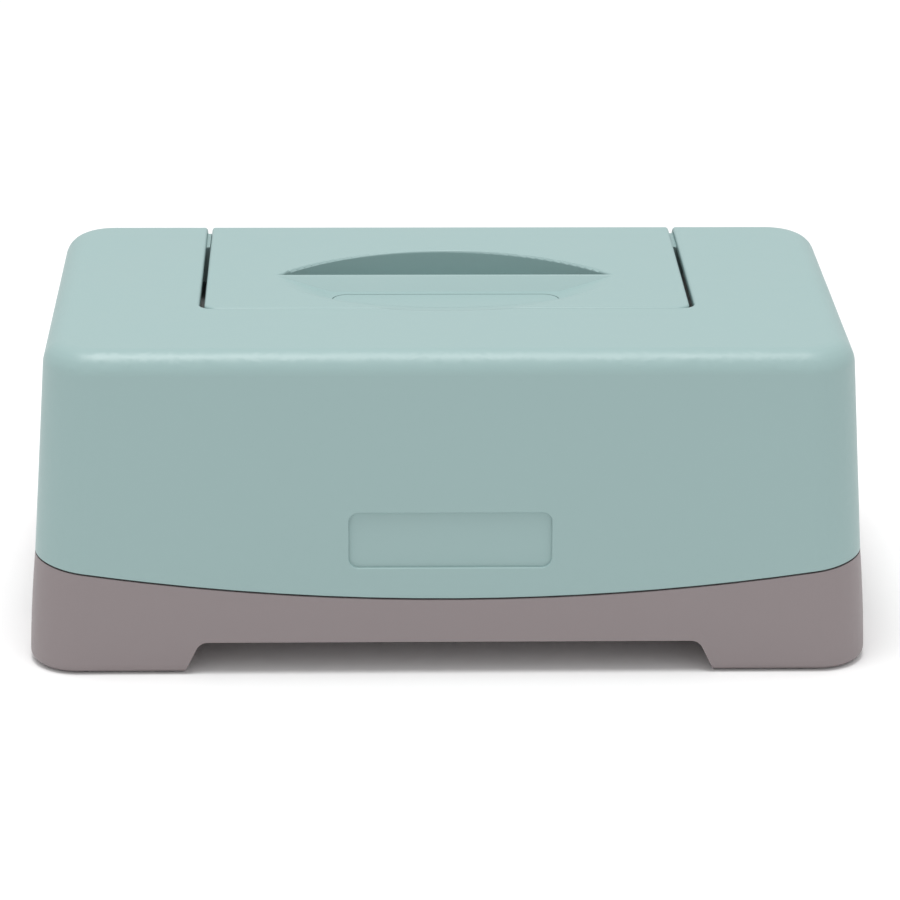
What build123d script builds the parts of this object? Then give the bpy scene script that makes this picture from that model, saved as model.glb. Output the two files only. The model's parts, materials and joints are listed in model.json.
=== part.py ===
from build123d import *
import math
import os

# Wipes box: a tray on four feet, a lift-off cover with a curved lower edge, and a flip lid
# with a grip recess and a thumb button. Millimetres, +Z up, +X along the box, -Y is the front.
# The origin is on the surface that the box stands on, under the middle of the box.

# Outside form
LENGTH = 260.0          # across the foot of the tray
DEPTH = 146.0           # front to back across the foot of the tray
HEIGHT = 102.0          # table to the top of the lid
CORNER_R = 15.5         # plan radius of the four upright corners
FLARE = 2.2             # how far the tray spreads from the seam down to its foot, each side
FLARE_HEIGHT = 34.0     # height at which the tray meets the cover's slope
FLARE_POWER = 1.5
DRAFT = 4.5             # how far the cover leans in from the seam to the top, each side
TOP_FILLET = 7.4        # rolled edge round the top
FOOT_FILLET = 3.0       # rounded lower edge of the tray

# Seam between tray and cover: an arc that dips at the middle of the front and back
SEAM_LOW = 24.3         # height of the seam at the middle
SEAM_R = 770.0
SEAM_GAP = 0.6          # shadow line left between tray and cover

# Walls and fits
WALL = 2.4
TOP_WALL = 2.6
FLOOR_WALL = 2.2
SLIP = 0.3              # space beside a part that slides in or lifts out
PIN_FIT = 0.04          # radial clearance of a pin in its hole
PAST = 1.0              # how far a cut runs past the face that it opens
TOUCH = 0.02            # how near a point on a face has to lie to it

# Feet
FOOT_BASE = 0.2         # the pads lift the tray this far off the table
UNDER_CLEAR = 11.0      # underside of the tray floor above the table
NOTCH_TOP = 0.5         # the notches stop this far under the floor's underside
NOTCH_LONG = 82.1       # half width of the front and back notches at the table
NOTCH_SHORT = 31.0      # half width of the end notches at the table
NOTCH_SLANT = 5.3       # how far the notch sides lean in on their way up
NOTCH_ROUND = 4.0
PAD_R = 8.0
PAD_THICK = 3.0
PAD_BOSS_WALL = 1.6

# Rim where the cover sits on the tray
LIP_WALL = 2.0
LIP_RISE = 15.4         # top of the lip above the lowest point of the seam
SHOULDER_DROP = 5.6     # inside of the tray steps in this far below the seam, to carry the lip
RIM_SEAL_THICK = 1.5
RIM_SEAL_MARGIN = 0.1   # lip left bare beside the seal, each side
LEDGE_THICK = 2.5

# Flip lid
SLOT_X = 76.6           # middle of the slots at each side of the lid
SLOT_WIDTH = 1.5
LID_FRONT = -22.5       # front edge of the lid
FRONT_GAP = 0.15
LID_CORNER_R = 4.0      # plan radius of the lid's front corners
LID_WALL = 2.4
ROLL_END_DEG = -5.0     # the rolled rear edge of the lid stops just under the hinge line
ROLL_GAP = 0.5
EDGE_ROUND = 1.0

# Hinge
PIN_R = 1.5
PIN_CHAMFER = 0.3
EAR_THICK = 3.0
HINGE_WEB_X = 0.3       # the hinge block stands this far past the lid's end face
BLOCK_LENGTH = 10.0
BLOCK_REACH = 14.0      # the hinge block runs this far forward of the pin
BLOCK_DROP = 6.6        # and this far below it
BLOCK_SKIN = 2.0        # depth of the hinge block under the outer face
BLOCK_END = 2.0         # plastic left past the end of the pin

# Grip recess in the lid
RIDGE_Y = 10.3          # straight ridge that fingers and thumb pinch
RIDGE_THICK = 1.5       # width of the ridge's flat top
GRIP_HALF = 53.4        # half length of the ridge
POCKET_SAG = 25.2       # the finger pocket bows back this far
POCKET_DEPTH = 12.0
POCKET_WALL = 2.0
BRIM_ROUND = 0.8        # softened upper edge of the pocket
SCOOP_SIDE = 10.1       # length of the thumb scoop's straight ends at the lid's face
SCOOP_TAPER = 2.9       # how far those ends lean in on their way forward
SCOOP_SAG = 35.4        # the thumb scoop bows forward this far
SCOOP_DEPTH = 4.0
SCOOP_FACET = 5.1       # run of the facet that slopes down from the ridge
SCOOP_FLOOR_HALF = 36.4
SCOOP_FLOOR_SIDE = 8.2
SCOOP_FLOOR_TAPER = 0.5
SCOOP_FLOOR_SAG = 15.0

# Thumb button
BUTTON_GAP = 0.35
BUTTON_MARGIN = 2.8     # scoop floor between the facet and the button
BUTTON_HALF = 35.8
BUTTON_SIDE = 10.4      # length of the button's straight ends
BUTTON_BOW = 4.0        # how far its front edge bows forward
BUTTON_ROUND = 5.0
BUTTON_TRAVEL = 1.5
FLANGE_WIDTH = 1.2
FLANGE_THICK = 1.4
STEM_R = 2.5
GUIDE_WALL = 1.2
SPRING_FORWARD = 7.0    # spring and stem forward of the button's back edge
SPRING_R = 4.9
SPRING_WIRE_R = 0.35
SPRING_TURNS = 3.5

# Inner deck, its soft membrane and its frame
DECK_WALL = 2.0
DECK_BESIDE = 4.6       # deck rim outside the slots
DECK_AHEAD = 6.5        # deck rim in front of the lid
DECK_RIM = 2.4
TAB_REACH = 14.0        # screw tabs stand out this far from the rim
TAB_HALF_Y = 7.0
TAB_SCREW = 6.0         # screw from the end of its tab
TAB_INSET = 11.0        # front screws behind the deck's front edge
TAB_BACKSET = 8.0       # rear screws in front of the hinge block
MOUTH_Y = 12.0          # middle of the deck's mouth
MOUTH_BESIDE = 17.85    # lid left past each end of the mouth
MOUTH_WIDTH = 46.0
MEMBRANE_LAP = 4.0
MEMBRANE_THICK = 1.2
SLIT_LENGTH = 56.0
SLIT_WIDTH = 16.0
RING_THICK = 2.0
RING_WIDTH = 7.0

# Inside of the lid
LINER_THICK = 2.0
LINER_BESIDE = 0.85     # space between the liner and the hinge ears
LINER_BEHIND = 3.5      # liner's front edge behind the lid's
LINER_HINGE_GAP = 11.4  # liner's back edge in front of the hinge pin
LINER_RIM = 1.6
LID_SEAL_LAP = 4.0
LID_SEAL_WIDTH = 3.0
LID_SEAL_HEIGHT = 3.7
LINER_SCREW_INSET = 8.0

# Screws, one size
SCREW_R = 1.4
SCREW_HEAD_R = 2.8
SCREW_HEAD_THICK = 1.6
SCREW_LENGTH = 9.0
SCREW_CROSS = 3.6       # length of the cross slot in the head
BOSS_R = 3.8

# Latch
HOOK_HALF = 9.0
HOOK_THICK = 1.8
HOOK_NOSE = 1.2
HOOK_NOSE_THICK = 1.6
KEEPER_HALF = 11.0
KEEPER_HEIGHT = 4.0
KEEPER_THICK = 3.7
KEEPER_LIFT = 1.6       # space between the hook's nose and the keeper above it

# Badge recess on the front, left bare
BADGE_LENGTH = 62.0
BADGE_HEIGHT = 17.6
BADGE_ABOVE_SEAM = 18.9 # middle of the recess above the lowest point of the seam
BADGE_DEPTH = 1.0
BADGE_ROUND = 3.0
BADGE_EDGE = 0.45       # rounding of the recess's outer edge

# Worked out from the sizes above
REACH = LENGTH                                  # longer than any half side, for cutting blocks
LEAN = DRAFT / (HEIGHT - FLARE_HEIGHT)          # slope of the cover's sides
AXIS_Z = HEIGHT - TOP_FILLET
AXIS_Y = DEPTH / 2 - FLARE - LEAN * (AXIS_Z - FLARE_HEIGHT) - TOP_FILLET * math.hypot(1, LEAN)
LID_HALF = SLOT_X - SLOT_WIDTH / 2
OPENING_HALF = SLOT_X + SLOT_WIDTH / 2
BLOCK_FRONT = AXIS_Y - BLOCK_REACH
MOUTH_LENGTH = 2 * (LID_HALF - MOUTH_BESIDE)
LIP_TOP = SEAM_LOW + LIP_RISE
SHOULDER_Z = SEAM_LOW - SHOULDER_DROP
BADGE_Z = SEAM_LOW + BADGE_ABOVE_SEAM
FLOOR_TOP = UNDER_CLEAR + FLOOR_WALL
RIM_INSET = WALL + SLIP + LIP_WALL              # inner face of the lip, measured from the outside
SKIN_BASE = HEIGHT - TOP_WALL
LINER_TOP = HEIGHT - POCKET_DEPTH - POCKET_WALL
LINER_BASE = LINER_TOP - LINER_THICK
LINER_HALF_X = LID_HALF - EAR_THICK - LINER_BESIDE
LINER_FRONT = LID_FRONT + LINER_BEHIND
LINER_BACK = AXIS_Y - LINER_HINGE_GAP
LINER_SCREW_X = LINER_HALF_X - LINER_SCREW_INSET
LINER_SCREW_Y = (LINER_FRONT + LINER_SCREW_INSET, LINER_BACK - LINER_SCREW_INSET)
SCOOP_FLOOR = HEIGHT - SCOOP_DEPTH
SCOOP_FLOOR_BACK = RIDGE_Y - SCOOP_FACET
BUTTON_BACK = SCOOP_FLOOR_BACK - BUTTON_MARGIN
SPRING_Y = BUTTON_BACK - SPRING_FORWARD
FLANGE_TOP = SCOOP_FLOOR - LID_WALL - SLIP
FLANGE_BASE = FLANGE_TOP - FLANGE_THICK
GUIDE_TOP = FLANGE_BASE - BUTTON_TRAVEL - SLIP
STEM_BASE = LINER_TOP + BUTTON_TRAVEL + SLIP
DECK_TOP = LINER_BASE - LID_SEAL_HEIGHT - SLIP
DECK_HALF_X = OPENING_HALF + DECK_BESIDE
DECK_FRONT = LID_FRONT - DECK_AHEAD
TAB_HALF_X = DECK_HALF_X + TAB_REACH
SCREW_X = TAB_HALF_X - TAB_SCREW
SCREW_Y = (DECK_FRONT + TAB_INSET, BLOCK_FRONT - TAB_BACKSET)
DECK_BASE = DECK_TOP - DECK_WALL
MEMBRANE_BASE = DECK_BASE - MEMBRANE_THICK
PAD_X = (LENGTH / 2 + NOTCH_LONG) / 2
PAD_Y = (DEPTH / 2 + NOTCH_SHORT) / 2


def tray_inset(z):
    """How far the tray's outer face lies inside its foot at height z."""
    return FLARE * (z / FLARE_HEIGHT) ** FLARE_POWER


def cover_inset(z):
    """How far the cover's outer face lies inside the tray's foot at height z."""
    return FLARE + LEAN * (z - FLARE_HEIGHT)


def plan(z, inset, round_inset=0.0):
    """Rounded rectangle of the box at height z, taken in by inset on every side."""
    outline = RectangleRounded(LENGTH - 2 * inset, DEPTH - 2 * inset, CORNER_R - round_inset)
    return (Pos(0, 0, z) * outline).face()


def tray_block(low, high, inward=0.0):
    """Solid that follows the tray's flared outside, taken in by the amount inward."""
    middle = (low + high) / 2
    return loft([plan(z, tray_inset(z) + inward, inward) for z in (low, middle, high)])


def cover_block(low, high, inward=0.0):
    """Solid that follows the cover's sloping outside, taken in by the amount inward."""
    return loft([plan(z, cover_inset(z) + inward, inward) for z in (low, high)], ruled=True)


def box_between(x0, x1, y0, y1, z0, z1):
    """Box given by its low and high corners."""
    middle = Pos((x0 + x1) / 2, (y0 + y1) / 2, (z0 + z1) / 2)
    return middle * Box(x1 - x0, y1 - y0, z1 - z0)


def upright(x, y, low, high, radius):
    """Upright cylinder from low to high."""
    return Pos(x, y, (low + high) / 2) * Cylinder(radius, high - low)


def along_x(x0, x1, y, z, radius):
    """Cylinder that lies along X."""
    return Pos((x0 + x1) / 2, y, z) * Rot(0, 90, 0) * Cylinder(radius, x1 - x0)


def above_seam(shift):
    """Everything above the seam arc moved up by shift: a drum that lies along Y."""
    return Pos(0, 0, SEAM_LOW + shift + SEAM_R) * Rot(90, 0, 0) * Cylinder(SEAM_R, 2 * DEPTH)


def stadium(y, length, width, low, high):
    """Upright block with round ends, lying along X."""
    return extrude(Pos(0, y, low) * SlotOverall(length, width), high - low)


def button_outline(z):
    """Outline of the thumb button: straight back and ends, front edge bowed, corners rounded."""
    front = BUTTON_BACK - BUTTON_SIDE
    outline = make_face([
        Line((-BUTTON_HALF, BUTTON_BACK), (BUTTON_HALF, BUTTON_BACK)),
        Line((BUTTON_HALF, BUTTON_BACK), (BUTTON_HALF, front)),
        ThreePointArc((BUTTON_HALF, front), (0, front - BUTTON_BOW), (-BUTTON_HALF, front)),
        Line((-BUTTON_HALF, front), (-BUTTON_HALF, BUTTON_BACK)),
    ])
    return (Pos(0, 0, z) * fillet(outline.vertices(), BUTTON_ROUND)).face()


def half_moon(chord_y, half, sag, z):
    """Face between a straight chord along X and an arc that bows to the back."""
    chord = Line((-half, chord_y), (half, chord_y))
    arc = ThreePointArc((half, chord_y), (0, chord_y + sag), (-half, chord_y))
    return (Pos(0, 0, z) * make_face([chord, arc])).face()


def scoop_outline(back, half, side, taper, sag, z):
    """Straight back edge, short ends that lean in, and a front edge that bows forward by sag."""
    front = back - side
    front_half = half - taper
    outline = make_face([
        Line((-half, back), (half, back)),
        Line((half, back), (front_half, front)),
        ThreePointArc((front_half, front), (0, back - sag), (-front_half, front)),
        Line((-front_half, front), (-half, back)),
    ])
    return (Pos(0, 0, z) * outline).face()


def scoop_dish(grow=0.0, drop=0.0):
    """Thumb scoop: a flat floor and straight sides that widen up to the lid's face."""
    low = scoop_outline(SCOOP_FLOOR_BACK + grow, SCOOP_FLOOR_HALF + grow, SCOOP_FLOOR_SIDE + grow,
                        SCOOP_FLOOR_TAPER, SCOOP_FLOOR_SAG + 2 * grow, SCOOP_FLOOR - drop)
    high = scoop_outline(RIDGE_Y - RIDGE_THICK + grow, GRIP_HALF + grow, SCOOP_SIDE + grow,
                         SCOOP_TAPER, SCOOP_SAG + 2 * grow, HEIGHT - drop)
    return loft([low, high], ruled=True)


def corners(x, y):
    """The four places that mirror x and y about the middle of the box."""
    return [(sx * x, sy * y) for sy in (-1, 1) for sx in (-1, 1)]


def notch(half, along_y):
    """Gap between two feet: sides lean in as they rise, upper corners are rounded."""
    low = -FOOT_BASE
    top_half = half - NOTCH_SLANT
    outline = make_face(Polyline((-half, low), (half, low), (top_half, UNDER_CLEAR - NOTCH_TOP),
                                 (-top_half, UNDER_CLEAR - NOTCH_TOP), close=True))
    outline = fillet(outline.vertices().sort_by(Axis.Y)[-2:], NOTCH_ROUND)
    bar = extrude(Plane.XZ * outline, REACH, both=True)
    return bar if along_y else Rot(0, 0, 90) * bar


def screw(x, y, head_base):
    """Pan-head screw that points up, with a cross slot in its head."""
    head = upright(x, y, head_base, head_base + SCREW_HEAD_THICK, SCREW_HEAD_R)
    slot_depth = SCREW_HEAD_THICK / 2
    slot = SCREW_R / 2
    for turn in (0, 90):
        head -= Pos(x, y, head_base) * Rot(0, 0, turn) * Box(SCREW_CROSS, slot, 2 * slot_depth)
    shank_base = head_base + SCREW_HEAD_THICK
    return head + upright(x, y, shank_base - slot_depth, shank_base + SCREW_LENGTH, SCREW_R)


def make_tray():
    outer = tray_block(FOOT_BASE, LIP_TOP)
    outer = fillet(outer.faces().sort_by(Axis.Z)[0].edges(), FOOT_FILLET)
    outer -= above_seam(-SEAM_GAP / 2)
    lip = cover_block(SHOULDER_Z, LIP_TOP, WALL + SLIP)
    tray = outer + lip
    tray -= tray_block(FLOOR_TOP, SHOULDER_Z, WALL + FLARE)
    tray -= cover_block(SHOULDER_Z, LIP_TOP, RIM_INSET)
    tray -= notch(NOTCH_LONG, True)
    tray -= notch(NOTCH_SHORT, False)
    hollow = tray_block(0, UNDER_CLEAR, WALL + FLARE)
    inner_x = NOTCH_LONG + WALL
    inner_y = NOTCH_SHORT + WALL
    hollow -= box_between(-inner_x, inner_x, -REACH, REACH, -PAST, HEIGHT)
    hollow -= box_between(-REACH, REACH, -inner_y, inner_y, -PAST, HEIGHT)
    for x, y in corners(PAD_X, PAD_Y):
        hollow -= upright(x, y, -PAST, HEIGHT, PAD_R + PAD_BOSS_WALL)
    tray -= hollow
    for x, y in corners(PAD_X, PAD_Y):
        tray -= upright(x, y, 0, PAD_THICK, PAD_R + PIN_FIT)
    return tray


def make_foot_pad(x, y):
    pad = upright(x, y, 0, PAD_THICK, PAD_R)
    return chamfer(pad.edges().sort_by(Axis.Z)[0], FOOT_BASE / 2)


def make_rim_seal():
    top = LIP_TOP + RIM_SEAL_THICK
    return cover_block(LIP_TOP, top, WALL + SLIP + RIM_SEAL_MARGIN) - cover_block(LIP_TOP, top, RIM_INSET - RIM_SEAL_MARGIN)


def hinge_block(side):
    """Block under the cover's rear edge that carries a hinge pin and shows in the slot."""
    x0 = LID_HALF + HINGE_WEB_X
    x1 = x0 + BLOCK_LENGTH
    low = AXIS_Z - BLOCK_DROP
    block = box_between(x0, x1, BLOCK_FRONT, DEPTH / 2, low, HEIGHT)
    block &= cover_block(low - PAST, HEIGHT - BLOCK_SKIN, BLOCK_SKIN)
    round_edge = along_x(x0 - PAST, x1 + PAST, AXIS_Y, AXIS_Z, TOP_FILLET - BLOCK_SKIN)
    corner_cut = box_between(x0 - PAST, x1 + PAST, AXIS_Y, DEPTH / 2, AXIS_Z, HEIGHT) - round_edge
    block -= corner_cut
    block -= along_x(x0 - PAST, x1 - BLOCK_END + PIN_FIT, AXIS_Y, AXIS_Z, PIN_R + PIN_FIT)
    return block if side > 0 else mirror(block, Plane.YZ)


def outer_edges(shape, x):
    """Edges at both sides x that lie on the outer face: along the top and round the rear edge."""
    def outside(edge):
        middle = edge @ 0.5
        reach = math.hypot(max(middle.Y - AXIS_Y, 0), middle.Z - AXIS_Z)
        return abs(abs(middle.X) - x) < TOUCH and middle.Z > AXIS_Z and reach > TOP_FILLET - TOUCH
    return shape.edges().filter_by(outside)


def make_cover():
    outer = cover_block(SEAM_LOW - PAST, HEIGHT)
    outer = fillet(outer.faces().sort_by(Axis.Z)[-1].edges(), TOP_FILLET)
    inner = cover_block(SEAM_LOW - 2 * PAST, SKIN_BASE, WALL)
    inner = fillet(inner.faces().sort_by(Axis.Z)[-1].edges(), TOP_FILLET - WALL)
    shell = (outer - inner) & above_seam(SEAM_GAP / 2)
    seat = LIP_TOP + RIM_SEAL_THICK
    ledge = cover_block(seat, seat + LEDGE_THICK, WALL / 2)
    ledge -= cover_block(seat, seat + LEDGE_THICK, RIM_INSET + SLIP)
    shell += ledge
    opening = box_between(-OPENING_HALF, OPENING_HALF, LID_FRONT - FRONT_GAP, AXIS_Y,
                          SKIN_BASE - TOP_FILLET, HEIGHT + PAST)
    opening = fillet(opening.edges().filter_by(Axis.Z).group_by(Axis.Y)[0], LID_CORNER_R + SLOT_WIDTH / 2)
    rear = box_between(-OPENING_HALF, OPENING_HALF, AXIS_Y, DEPTH, AXIS_Z, HEIGHT + PAST)
    swing = along_x(-OPENING_HALF, OPENING_HALF, AXIS_Y, AXIS_Z, TOP_FILLET + ROLL_GAP)
    shell -= opening + rear + swing
    shell = fillet(outer_edges(shell, OPENING_HALF), EDGE_ROUND)
    shell -= scoop_dish()
    for side in (-1, 1):
        shell += hinge_block(side)
    for y in SCREW_Y:
        for side in (-1, 1):
            shell += upright(side * SCREW_X, y, DECK_TOP, SKIN_BASE + TOP_WALL / 2, BOSS_R)
            shell -= upright(side * SCREW_X, y, DECK_TOP - PAST, DECK_TOP + SCREW_LENGTH, SCREW_R + PIN_FIT)
    return add_badge_recess(shell)


def add_badge_recess(shell):
    """Shallow rounded pocket, square to the cover's sloping front, with its outer edge rounded."""
    front_y = -(DEPTH / 2 - cover_inset(BADGE_Z))
    face_plane = Plane(origin=(0, front_y, BADGE_Z), x_dir=(1, 0, 0), z_dir=(0, -1, LEAN))
    shell -= extrude(face_plane * RectangleRounded(BADGE_LENGTH, BADGE_HEIGHT, BADGE_ROUND),
                     BADGE_DEPTH, both=True)

    def on_rim(edge):
        spot = face_plane.to_local_coords(edge @ 0.5)
        beside = abs(spot.X) < BADGE_LENGTH / 2 + TOUCH and abs(spot.Y) < BADGE_HEIGHT / 2 + TOUCH
        return beside and abs(spot.Z) < TOUCH
    return fillet(shell.edges().filter_by(on_rim), BADGE_EDGE)


def make_deck():
    half = DECK_HALF_X
    back = DEPTH / 2 - cover_inset(DECK_TOP) - WALL - SLIP
    deck = box_between(-half, half, DECK_FRONT, back, DECK_BASE, DECK_TOP)
    rim = box_between(-half, half, DECK_FRONT, BLOCK_FRONT - SLIP, DECK_BASE, SKIN_BASE)
    rim -= box_between(-half + DECK_RIM, half - DECK_RIM, DECK_FRONT + DECK_RIM, DEPTH,
                       DECK_BASE - PAST, HEIGHT)
    deck += rim
    for y in SCREW_Y:
        deck += box_between(-TAB_HALF_X, TAB_HALF_X, y - TAB_HALF_Y, y + TAB_HALF_Y, DECK_BASE, DECK_TOP)
    deck -= stadium(MOUTH_Y, MOUTH_LENGTH, MOUTH_WIDTH, DECK_BASE - PAST, DECK_TOP + PAST)
    for y in SCREW_Y:
        for side in (-1, 1):
            deck -= upright(side * SCREW_X, y, DECK_BASE - PAST, DECK_TOP + PAST, SCREW_R + SLIP)
    return deck


def make_deck_screws():
    return [screw(side * SCREW_X, y, DECK_BASE - SCREW_HEAD_THICK) for y in SCREW_Y for side in (-1, 1)]


def make_membrane():
    lap = 2 * MEMBRANE_LAP
    sheet = stadium(MOUTH_Y, MOUTH_LENGTH + lap, MOUTH_WIDTH + lap, MEMBRANE_BASE, DECK_BASE)
    return sheet - stadium(MOUTH_Y, SLIT_LENGTH, SLIT_WIDTH, MEMBRANE_BASE - PAST, DECK_BASE + PAST)


def make_membrane_ring():
    low = MEMBRANE_BASE - RING_THICK
    lap = 2 * MEMBRANE_LAP
    outer = stadium(MOUTH_Y, MOUTH_LENGTH + lap, MOUTH_WIDTH + lap, low, MEMBRANE_BASE)
    grow = lap - 2 * RING_WIDTH
    return outer - stadium(MOUTH_Y, MOUTH_LENGTH + grow, MOUTH_WIDTH + grow, low - PAST, MEMBRANE_BASE + PAST)


def make_keeper():
    """Ledge on the deck's front rim that the lid's hook passes and snaps under."""
    back_face = DECK_FRONT + DECK_RIM
    low = LINER_BASE + KEEPER_LIFT
    return box_between(-KEEPER_HALF, KEEPER_HALF, back_face, back_face + KEEPER_THICK,
                       low, low + KEEPER_HEIGHT)


def make_pin(side):
    x0 = LID_HALF - EAR_THICK
    x1 = LID_HALF + HINGE_WEB_X + BLOCK_LENGTH - BLOCK_END
    pin = along_x(x0, x1, AXIS_Y, AXIS_Z, PIN_R)
    pin = chamfer(pin.edges().filter_by(GeomType.CIRCLE), PIN_CHAMFER)
    return pin if side > 0 else mirror(pin, Plane.YZ)


def make_lid():
    slab = box_between(-LID_HALF, LID_HALF, LID_FRONT, AXIS_Y, HEIGHT - LID_WALL, HEIGHT)
    slab = fillet(slab.edges().filter_by(Axis.Z).group_by(Axis.Y)[0], LID_CORNER_R)
    outer_r = TOP_FILLET
    roll = along_x(-LID_HALF, LID_HALF, AXIS_Y, AXIS_Z, outer_r)
    roll -= along_x(-LID_HALF - PAST, LID_HALF + PAST, AXIS_Y, AXIS_Z, outer_r - LID_WALL)
    drop = outer_r * math.tan(math.radians(-ROLL_END_DEG))
    roll &= box_between(-REACH, REACH, AXIS_Y, DEPTH, AXIS_Z - drop, HEIGHT)
    lid = slab + roll
    lid = fillet(outer_edges(lid, LID_HALF), EDGE_ROUND)
    pocket_low = HEIGHT - POCKET_DEPTH
    pocket = half_moon(RIDGE_Y, GRIP_HALF, POCKET_SAG, pocket_low)
    tub_face = offset(half_moon(RIDGE_Y, GRIP_HALF, POCKET_SAG, LINER_TOP), POCKET_WALL)
    lid += extrude(tub_face, HEIGHT - LID_WALL / 2 - LINER_TOP)
    lid += scoop_dish(LID_WALL, LID_WALL) & box_between(-REACH, REACH, LID_FRONT, DEPTH, 0, HEIGHT)
    lid -= extrude(pocket, 2 * POCKET_DEPTH)
    brim = lid.edges().filter_by(GeomType.CIRCLE).filter_by_position(Axis.Z, HEIGHT, HEIGHT)
    lid = fillet(brim.sort_by(Edge.length)[-1], BRIM_ROUND)
    lid -= scoop_dish()
    lid -= extrude(offset(button_outline(LINER_TOP), BUTTON_GAP), HEIGHT - LINER_TOP)
    for side in (-1, 1):
        ear = along_x(side * (LID_HALF - EAR_THICK / 2) - EAR_THICK / 2,
                      side * (LID_HALF - EAR_THICK / 2) + EAR_THICK / 2,
                      AXIS_Y, AXIS_Z, outer_r - LID_WALL / 2)
        lid += ear
        for y in LINER_SCREW_Y:
            lid += upright(side * LINER_SCREW_X, y, LINER_TOP, HEIGHT - LID_WALL / 2, BOSS_R)
            lid -= upright(side * LINER_SCREW_X, y, LINER_TOP - PAST, LINER_BASE + SCREW_LENGTH,
                           SCREW_R + PIN_FIT)
    lid -= along_x(-REACH, -LID_HALF + EAR_THICK + PAST, AXIS_Y, AXIS_Z, PIN_R + PIN_FIT)
    lid -= along_x(LID_HALF - EAR_THICK - PAST, REACH, AXIS_Y, AXIS_Z, PIN_R + PIN_FIT)
    return lid


def make_liner():
    half = LINER_HALF_X
    rim_top = HEIGHT - LID_WALL
    liner = box_between(-half, half, LINER_FRONT, LINER_BACK, LINER_BASE, rim_top)
    liner -= box_between(-half + LINER_RIM, half - LINER_RIM, LINER_FRONT + LINER_RIM,
                         LINER_BACK - LINER_RIM, LINER_TOP, HEIGHT)
    guide = upright(0, SPRING_Y, LINER_TOP, GUIDE_TOP, STEM_R + PIN_FIT + GUIDE_WALL)
    liner += guide - upright(0, SPRING_Y, LINER_TOP, HEIGHT, STEM_R + PIN_FIT)
    liner -= scoop_dish(LID_WALL + SLIP, LID_WALL)
    for y in LINER_SCREW_Y:
        for side in (-1, 1):
            liner -= upright(side * LINER_SCREW_X, y, 0, HEIGHT, SCREW_R + SLIP)
    return liner


def make_liner_screws():
    return [screw(side * LINER_SCREW_X, y, LINER_BASE - SCREW_HEAD_THICK)
            for y in LINER_SCREW_Y for side in (-1, 1)]


def make_lid_seal():
    low = DECK_TOP + SLIP
    lap = 2 * LID_SEAL_LAP
    wide = lap + 2 * LID_SEAL_WIDTH
    ring = stadium(MOUTH_Y, MOUTH_LENGTH + wide, MOUTH_WIDTH + wide, low, LINER_BASE)
    return ring - stadium(MOUTH_Y, MOUTH_LENGTH + lap, MOUTH_WIDTH + lap, low - PAST, LINER_BASE + PAST)


def make_hook():
    """Springy tongue on the front of the lid's liner, with a nose that points forward."""
    back = LINER_FRONT
    low = LINER_BASE - HOOK_NOSE_THICK
    high = HEIGHT - LID_WALL - SLIP
    tongue = box_between(-HOOK_HALF, HOOK_HALF, back - HOOK_THICK, back, low, high)
    tongue -= scoop_dish(LID_WALL + SLIP, LID_WALL)
    nose = box_between(-HOOK_HALF, HOOK_HALF, back - HOOK_THICK - HOOK_NOSE, back - HOOK_THICK,
                       low, low + HOOK_NOSE_THICK)
    return tongue + nose


def make_button():
    face = button_outline(FLANGE_BASE)
    button = extrude(face, HEIGHT - FLANGE_BASE) - scoop_dish()
    button += extrude(offset(face, FLANGE_WIDTH), FLANGE_THICK)
    button += upright(0, SPRING_Y, STEM_BASE, FLANGE_BASE, STEM_R)
    return button


def make_spring():
    low = LINER_TOP + SPRING_WIRE_R + SLIP / 2
    high = FLANGE_BASE - SPRING_WIRE_R - SLIP / 2
    path = Helix((high - low) / SPRING_TURNS, high - low, SPRING_R)
    start = Plane(origin=path @ 0, z_dir=path % 0)
    wire = sweep(start * Circle(SPRING_WIRE_R), path=path, is_frenet=True)
    return Pos(0, SPRING_Y, low) * wire


os.makedirs("parts", exist_ok=True)
nodes = {
    "base_tray": make_tray(),
    "rim_seal": make_rim_seal(),
    "cover_shell": make_cover(),
    "inner_deck": make_deck(),
    "deck_screws": make_deck_screws(),
    "dispensing_membrane": make_membrane(),
    "membrane_ring": make_membrane_ring(),
    "latch_keeper": make_keeper(),
    "hinge_pin_left": make_pin(-1),
    "hinge_pin_right": make_pin(1),
    "lid_panel": make_lid(),
    "lid_liner": make_liner(),
    "liner_screws": make_liner_screws(),
    "lid_seal": make_lid_seal(),
    "latch_hook": make_hook(),
    "button_spring": make_spring(),
    "thumb_button": make_button(),
}
for (x, y), name in zip(corners(PAD_X, PAD_Y), ("front_left", "front_right", "rear_left", "rear_right")):
    nodes["foot_pad_" + name] = make_foot_pad(x, y)
for name, shape in nodes.items():
    solids = shape if isinstance(shape, list) else shape.solids()
    whole = Compound(children=list(solids)) if len(solids) > 1 else solids[0]
    export_step(whole, "parts/" + name + ".step")
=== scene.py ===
import json
import math

import bpy
import numpy as np
from mathutils import Matrix, Vector


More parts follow.
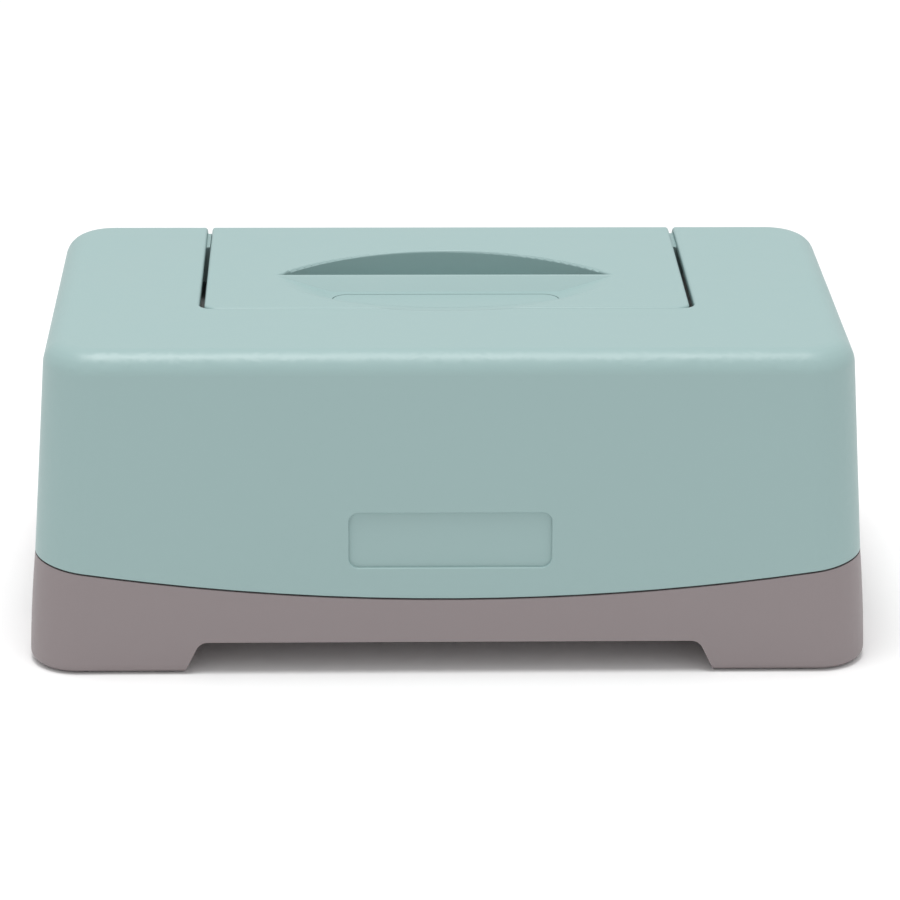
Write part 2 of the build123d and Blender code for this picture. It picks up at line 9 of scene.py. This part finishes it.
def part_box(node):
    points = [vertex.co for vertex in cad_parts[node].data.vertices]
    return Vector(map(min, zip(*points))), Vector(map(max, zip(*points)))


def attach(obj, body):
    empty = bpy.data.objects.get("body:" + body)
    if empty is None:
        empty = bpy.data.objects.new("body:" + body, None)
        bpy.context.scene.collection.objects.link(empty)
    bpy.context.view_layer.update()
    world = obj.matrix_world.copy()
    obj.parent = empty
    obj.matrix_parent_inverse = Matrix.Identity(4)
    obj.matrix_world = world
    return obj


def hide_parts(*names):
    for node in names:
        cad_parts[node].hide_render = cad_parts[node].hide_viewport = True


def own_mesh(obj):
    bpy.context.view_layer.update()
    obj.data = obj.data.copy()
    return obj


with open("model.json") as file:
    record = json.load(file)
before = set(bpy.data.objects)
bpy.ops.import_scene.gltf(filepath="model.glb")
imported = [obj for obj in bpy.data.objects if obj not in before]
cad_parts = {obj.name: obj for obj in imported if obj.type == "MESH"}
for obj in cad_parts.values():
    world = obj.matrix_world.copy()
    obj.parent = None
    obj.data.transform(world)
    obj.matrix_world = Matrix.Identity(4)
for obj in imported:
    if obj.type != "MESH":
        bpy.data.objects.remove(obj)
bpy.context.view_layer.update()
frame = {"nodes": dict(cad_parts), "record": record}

# Colours, linear
MINT = (0.295, 0.422, 0.416)
TAUPE = (0.246, 0.208, 0.212)
WHITE_PLASTIC = (0.60, 0.62, 0.61)
PAD_GREY = (0.045, 0.045, 0.047)
SILICONE = (0.48, 0.53, 0.52)
STEEL = (0.55, 0.55, 0.56)
FLOOR_TONE = (0.93, 0.93, 0.93)

# Surface patterns: scales in waves per metre, heights in metres
DRIFT_SCALE = 9.0
CLOUD_SCALE = 38.0
MOULD_GRAIN_SCALE = 2600.0
DUST_SCALE = 60.0
RUBBER_GRAIN_SCALE = 1800.0
STREAK_STRETCH = (40.0, 900.0, 900.0)
STREAK_SCALE = 3.0
GRAIN_HEIGHT = 0.00002
NOISE_LOW = 0.3          # noise between these two spans the range of roughness
NOISE_HIGH = 0.7

# Rounding of each piece's moulded edges, in metres
EDGE_ROUND = {"base_tray": 0.0004, "cover_shell": 0.00012, "lid_panel": 0.00012, "thumb_button": 0.00012}
SMALL_EDGE_ROUND = 0.0002
EDGE_SEGMENTS = 2
SHARP_DEG = 46           # edges sharper than this are rounded
WELD_GAP = 0.000002
FULL_FACE_WEIGHT = 100
EVEN_THRESHOLD = 0.01

# Button spring, in metres
SPRING_WIRE_R = 0.00035
SPRING_TURNS = 5
CLOSED_RISE = 2.05       # rise of a closed end turn, in wire radii
STEPS_PER_TURN = 40
WIRE_SIDES = 12

# Slotted membrane, in metres
SLOT_LENGTH = 0.056
SLOT_WIDTH = 0.016
LIP_RISE = 0.0009        # the lip stands this far below the web, and half as far above it
LIP_SPREAD = 0.10        # width of the lip as a share of the way out to the rim
NOSE_REACH = 0.35        # how far the lip's round nose leans into the slot, as a share of the lip
WEB_DIP = 0.0014         # how far the web hangs between lip and rim
WEB_END = 0.62           # the web ends here, where the deck clamps the rim
STEPS_ROUND = 96
STEPS_ACROSS = 40
STEPS_NOSE = 9

# Stage, in metres
FLOOR_HALF = 6.0
FLOOR_ROUGH = 0.9
FLOOR_SHINE = 0.1
SURROUND = 0.74          # brightness of the white surround
LIGHT_PLACE = (-0.1, -0.15, 2.0)
LIGHT_AIM = (0, 0, 0.05)
LIGHT_SIZE = (0.9, 0.8)
LIGHT_POWER = 24.0       # watts

# Camera, fitted to the photograph's outline
PHOTO_PX = 900
FOCAL_PX = 3648.7
CAMERA_PITCH = math.radians(21.0)
CAMERA_YAW = 0.0311
CAMERA_ROLL = 0.0082
CAMERA_DISTANCE = 1.17787
CAMERA_TARGET = (0.00181, 0.0, 0.04586)
SENSOR_MM = 36.0
CLIP_START = 0.05


class Socket:
    """Wraps a node output so that shader maths reads as plain expressions."""

    def __init__(self, tree, out):
        self.tree = tree
        self.out = out

    def _math(self, operation, *values):
        return self.tree.node("ShaderNodeMath", {"operation": operation}, values)

    def __add__(self, other):
        return self._math("ADD", self, other)

    __radd__ = __add__

    def __mul__(self, other):
        return self._math("MULTIPLY", self, other)

    __rmul__ = __mul__


class Material:
    """A node material. node() adds any node by type, its settings, and the values of its sockets."""

    def __init__(self, name):
        self.mat = bpy.data.materials.new(name)
        self.mat.use_nodes = True
        self.nodes = self.mat.node_tree.nodes
        self.links = self.mat.node_tree.links
        self.shader = self.nodes["Principled BSDF"]
        self.place = self.node("ShaderNodeTexCoord", output="Object")

    def node(self, kind, settings=None, inputs=(), output=0):
        made = self.nodes.new(kind)
        for key, value in (settings or {}).items():
            setattr(made, key, value)
        pairs = inputs.items() if isinstance(inputs, dict) else enumerate(inputs)
        for key, value in pairs:
            self.feed(made.inputs[key], value)
        return Socket(self, made.outputs[output])

    def feed(self, target, value):
        if isinstance(value, Socket):
            self.links.new(value.out, target)
        else:
            target.default_value = value

    def noise(self, scale, detail, roughness=0.5, place=None):
        return self.node("ShaderNodeTexNoise", {}, {"Vector": place or self.place, "Scale": scale,
                                                    "Detail": detail, "Roughness": roughness})

    def mix(self, low, high, factor):
        """Colour between low and high, four numbers each, by factor. Sockets 6 and 7 are the colours'."""
        return self.node("ShaderNodeMix", {"data_type": "RGBA"},
                         {"Factor": factor, 6: low, 7: high}, output=2)

    def vary(self, noise, low, high):
        """Spreads the middle of a noise over the range from low to high."""
        return self.node("ShaderNodeMapRange", {}, [noise, NOISE_LOW, NOISE_HIGH, low, high])

    def bump(self, height, strength):
        return self.node("ShaderNodeBump", {}, {"Height": height, "Strength": strength,
                                                "Distance": GRAIN_HEIGHT})

    def set(self, **sockets):
        for key, value in sockets.items():
            self.feed(self.shader.inputs[key.replace("_", " ")], value)
        return self.mat


def shade(colour, factor):
    """The colour made lighter or darker by a factor, with full alpha."""
    return tuple(min(c * factor, 1.0) for c in colour) + (1.0,)


def moulded(name, colour, rough, drift):
    """Injection-moulded plastic: faint drift in tone, a fine spark-eroded grain, satin gloss."""
    m = Material(name)
    slow = m.noise(DRIFT_SCALE, 3.0)
    cloud = m.noise(CLOUD_SCALE, 4.0, 0.6)
    grain = m.noise(MOULD_GRAIN_SCALE, 2.0, 0.7)
    tone = m.mix(shade(colour, 1 - drift), shade(colour, 1 + drift), 0.6 * slow + 0.4 * cloud)
    return m.set(Base_Color=tone, Roughness=m.vary(cloud, rough - 0.03, rough + 0.04),
                 Normal=m.bump(grain, 0.25))


def rubbery(name, colour, rough):
    """Silicone or rubber: faint dusty patches in tone and gloss over a fine matte grain."""
    m = Material(name)
    dust = m.noise(DUST_SCALE, 5.0, 0.65)
    grain = m.noise(RUBBER_GRAIN_SCALE, 3.0, 0.6)
    tone = m.mix(shade(colour, 0.94), shade(colour, 1.08), dust)
    return m.set(Base_Color=tone, Roughness=m.vary(dust, rough - 0.05, rough + 0.06),
                 Specular_IOR_Level=0.4, Normal=m.bump(grain, 0.3))


def metal(name, colour, rough):
    """Drawn steel: fine streaks in tone and gloss that run along X."""
    m = Material(name)
    stretched = m.node("ShaderNodeMapping", {}, {"Vector": m.place, "Scale": STREAK_STRETCH})
    streak = m.noise(STREAK_SCALE, 3.0, place=stretched)
    tone = m.mix(shade(colour, 0.85), shade(colour, 1.1), streak)
    return m.set(Base_Color=tone, Metallic=1.0, Roughness=m.vary(streak, rough - 0.06, rough + 0.06))


mint = moulded("mint_plastic", MINT, 0.42, 0.018)
taupe = moulded("taupe_plastic", TAUPE, 0.46, 0.025)
white = moulded("white_plastic", WHITE_PLASTIC, 0.40, 0.012)
pad = rubbery("pad_rubber", PAD_GREY, 0.75)
silicone = rubbery("silicone", SILICONE, 0.5)
steel = metal("steel", STEEL, 0.32)

FINISH = {
    "mint_plastic": mint,
    "taupe_plastic": taupe,
    "white_plastic": white,
    "pad_rubber": pad,
    "seal_rubber": silicone,
    "membrane_rubber": silicone,
    "pin_steel": steel,
    "screw_steel": steel,
    "spring_steel": steel,
}


def dress_cad_nodes():
    """Gives every CAD piece its finish, joined faces, softened edges and smooth shading."""
    slots = {row["node"]: row["material_slot"] for row in frame["record"]["subparts"]}
    for name, piece in frame["nodes"].items():
        piece.data.materials.clear()
        piece.data.materials.append(FINISH[slots[name]])
        piece.data.polygons.foreach_set("use_smooth", [True] * len(piece.data.polygons))
        weld = piece.modifiers.new("weld", "WELD")
        weld.merge_threshold = WELD_GAP
        soft = piece.modifiers.new("soft_edge", "BEVEL")
        soft.width = EDGE_ROUND.get(name, SMALL_EDGE_ROUND)
        soft.segments = EDGE_SEGMENTS
        soft.limit_method = "ANGLE"
        soft.angle_limit = math.radians(SHARP_DEG)
        even = piece.modifiers.new("even_shading", "WEIGHTED_NORMAL")
        even.mode = "FACE_AREA"
        even.weight = FULL_FACE_WEIGHT
        even.thresh = EVEN_THRESHOLD


def grid_mesh(name, points, material, close_ends):
    """Mesh of a tube-like grid: points[i, j] with j running round and closing on itself.
    close_ends caps the first and last ring; without it the rings close on each other."""
    rows, columns = points.shape[:2]
    last = rows - 1 if close_ends else rows
    i, j = np.meshgrid(np.arange(last), np.arange(columns), indexing="ij")
    i2 = (i + 1) % rows
    j2 = (j + 1) % columns
    quads = np.stack([i * columns + j, i2 * columns + j, i2 * columns + j2, i * columns + j2], axis=-1)
    faces = quads.reshape(-1, 4).tolist()
    if close_ends:
        faces.append(list(range(columns)))
        faces.append(list(range(last * columns, rows * columns))[::-1])
    mesh = bpy.data.meshes.new(name)
    mesh.from_pydata(points.reshape(-1, 3).tolist(), [], faces)
    mesh.polygons.foreach_set("use_smooth", [len(face) == 4 for face in faces])
    mesh.materials.append(material)
    piece = bpy.data.objects.new(name, mesh)
    bpy.context.scene.collection.objects.link(piece)
    return piece


def make_spring():
    """Compression spring: a small circle carried along a helix. The height rises by about one wire
    thickness over the first and the last turn, which lie closed, and steadily in between."""
    low, high = (np.array(corner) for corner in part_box("button_spring"))
    middle = (low + high) / 2
    coil_r = (high[0] - low[0]) / 2 - SPRING_WIRE_R
    first = low[2] + SPRING_WIRE_R
    top = high[2] - SPRING_WIRE_R
    turn = np.linspace(0, SPRING_TURNS, SPRING_TURNS * STEPS_PER_TURN + 1)[:, None]
    rise = CLOSED_RISE * SPRING_WIRE_R
    height = np.interp(turn, [0, 1, SPRING_TURNS - 1, SPRING_TURNS], [first, first + rise, top - rise, top])
    round_wire = np.linspace(0, 2 * np.pi, WIRE_SIDES, endpoint=False)[None, :]
    reach = coil_r + SPRING_WIRE_R * np.cos(round_wire)
    angle = 2 * np.pi * turn
    points = np.stack([middle[0] + reach * np.cos(angle), middle[1] + reach * np.sin(angle),
                       height + SPRING_WIRE_R * np.sin(round_wire)], axis=-1)
    spring = grid_mesh("press_spring", points, steel, close_ends=True)
    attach(spring, "lid")
    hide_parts("button_spring")
    joints = {joint["name"]: joint for joint in frame["record"]["behaviour"]["joints"]}
    travel = joints["button_press"]["range_m"][1]
    rest = high[2] - low[2]
    (rest - travel) / rest
    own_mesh(spring)


def make_membrane():
    """Silicone sheet with a slot. Its section runs round a closed profile: a thick rounded lip at
    the slot, a thin web that dips between lip and rim, and a flat rim under the deck. The profile
    is carried round a stadium: x = sign(cos u) * run + radius * cos u, y = radius * sin u. Both the
    radius and the run, half the stadium's straight part, grow evenly from the slot to the rim."""
    low, high = (np.array(corner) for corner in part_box("dispensing_membrane"))
    middle = (low + high) / 2
    outer_r = (high[1] - low[1]) / 2
    outer_run = (high[0] - low[0]) / 2 - outer_r
    inner_r = SLOT_WIDTH / 2
    inner_run = SLOT_LENGTH / 2 - inner_r
    u = np.linspace(0, 2 * np.pi, STEPS_ROUND, endpoint=False)[:, None] + np.pi / STEPS_ROUND
    share = np.linspace(0, 1, STEPS_ACROSS)
    lip = LIP_RISE * np.exp(-(share / LIP_SPREAD) ** 2)
    dip = WEB_DIP * np.sin(np.pi * np.clip(share / WEB_END, 0, 1)) ** 2
    top = high[2] - dip + lip / 2
    under = low[2] - dip - lip
    bend = np.linspace(0, np.pi, STEPS_NOSE)[1:-1]
    nose_share = -LIP_SPREAD * NOSE_REACH * np.sin(bend)
    nose_height = (top[0] + under[0]) / 2 - (top[0] - under[0]) / 2 * np.cos(bend)
    across = np.concatenate([share[::-1], nose_share[::-1], share])
    level = np.concatenate([top[::-1], nose_height[::-1], under])
    radius = inner_r + (outer_r - inner_r) * across
    run = inner_run + (outer_run - inner_run) * across
    points = np.stack([middle[0] + np.sign(np.cos(u)) * run + radius * np.cos(u),
                       middle[1] + radius * np.sin(u), np.tile(level, (STEPS_ROUND, 1))], axis=-1)
    sheet = grid_mesh("slotted_membrane", points, silicone, close_ends=False)
    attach(sheet, "cover")
    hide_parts("dispensing_membrane")


def make_stage():
    """Plain pale floor and a white surround."""
    mesh = bpy.data.meshes.new("floor")
    corners = [(-FLOOR_HALF, -FLOOR_HALF, 0), (FLOOR_HALF, -FLOOR_HALF, 0),
               (FLOOR_HALF, FLOOR_HALF, 0), (-FLOOR_HALF, FLOOR_HALF, 0)]
    mesh.from_pydata(corners, [], [(0, 1, 2, 3)])
    floor = bpy.data.objects.new("floor", mesh)
    bpy.context.scene.collection.objects.link(floor)
    m = Material("floor")
    mesh.materials.append(m.set(Base_Color=shade(FLOOR_TONE, 1.0), Roughness=FLOOR_ROUGH,
                                Specular_IOR_Level=FLOOR_SHINE))
    world = bpy.data.worlds.new("surround")
    world.use_nodes = True
    world.node_tree.nodes["Background"].inputs["Color"].default_value = (1, 1, 1, 1)
    world.node_tree.nodes["Background"].inputs["Strength"].default_value = SURROUND
    bpy.context.scene.world = world
    bpy.context.scene.view_settings.view_transform = "Standard"


def make_light():
    """One wide soft light above the box, turned to face it."""
    data = bpy.data.lights.new("overhead", "AREA")
    data.shape = "RECTANGLE"
    data.size, data.size_y = LIGHT_SIZE
    data.energy = LIGHT_POWER
    lamp = bpy.data.objects.new("overhead", data)
    bpy.context.scene.collection.objects.link(lamp)
    lamp.location = LIGHT_PLACE
    lamp.rotation_euler = (Vector(LIGHT_AIM) - Vector(LIGHT_PLACE)).to_track_quat("-Z", "Y").to_euler()


def make_camera():
    """Camera fitted to the photograph's outline: it looks down a little from the front left."""
    level = math.cos(CAMERA_PITCH)
    ahead = Vector((math.sin(CAMERA_YAW) * level, math.cos(CAMERA_YAW) * level, -math.sin(CAMERA_PITCH)))
    right = Vector((math.cos(CAMERA_YAW), -math.sin(CAMERA_YAW), 0.0))
    up = right.cross(ahead)
    rolled_right = math.cos(CAMERA_ROLL) * right + math.sin(CAMERA_ROLL) * up
    rolled_up = -math.sin(CAMERA_ROLL) * right + math.cos(CAMERA_ROLL) * up
    data = bpy.data.cameras.new("camera")
    data.sensor_width = SENSOR_MM
    data.lens = FOCAL_PX / PHOTO_PX * SENSOR_MM
    data.clip_start = CLIP_START
    camera = bpy.data.objects.new("camera", data)
    bpy.context.scene.collection.objects.link(camera)
    turn = Matrix((rolled_right, rolled_up, -ahead)).transposed()
    place = Vector(CAMERA_TARGET) - CAMERA_DISTANCE * ahead
    camera.matrix_world = Matrix.Translation(place) @ turn.to_4x4()
    bpy.context.scene.camera = camera


dress_cad_nodes()
make_spring()
make_membrane()
make_stage()
make_light()
make_camera()
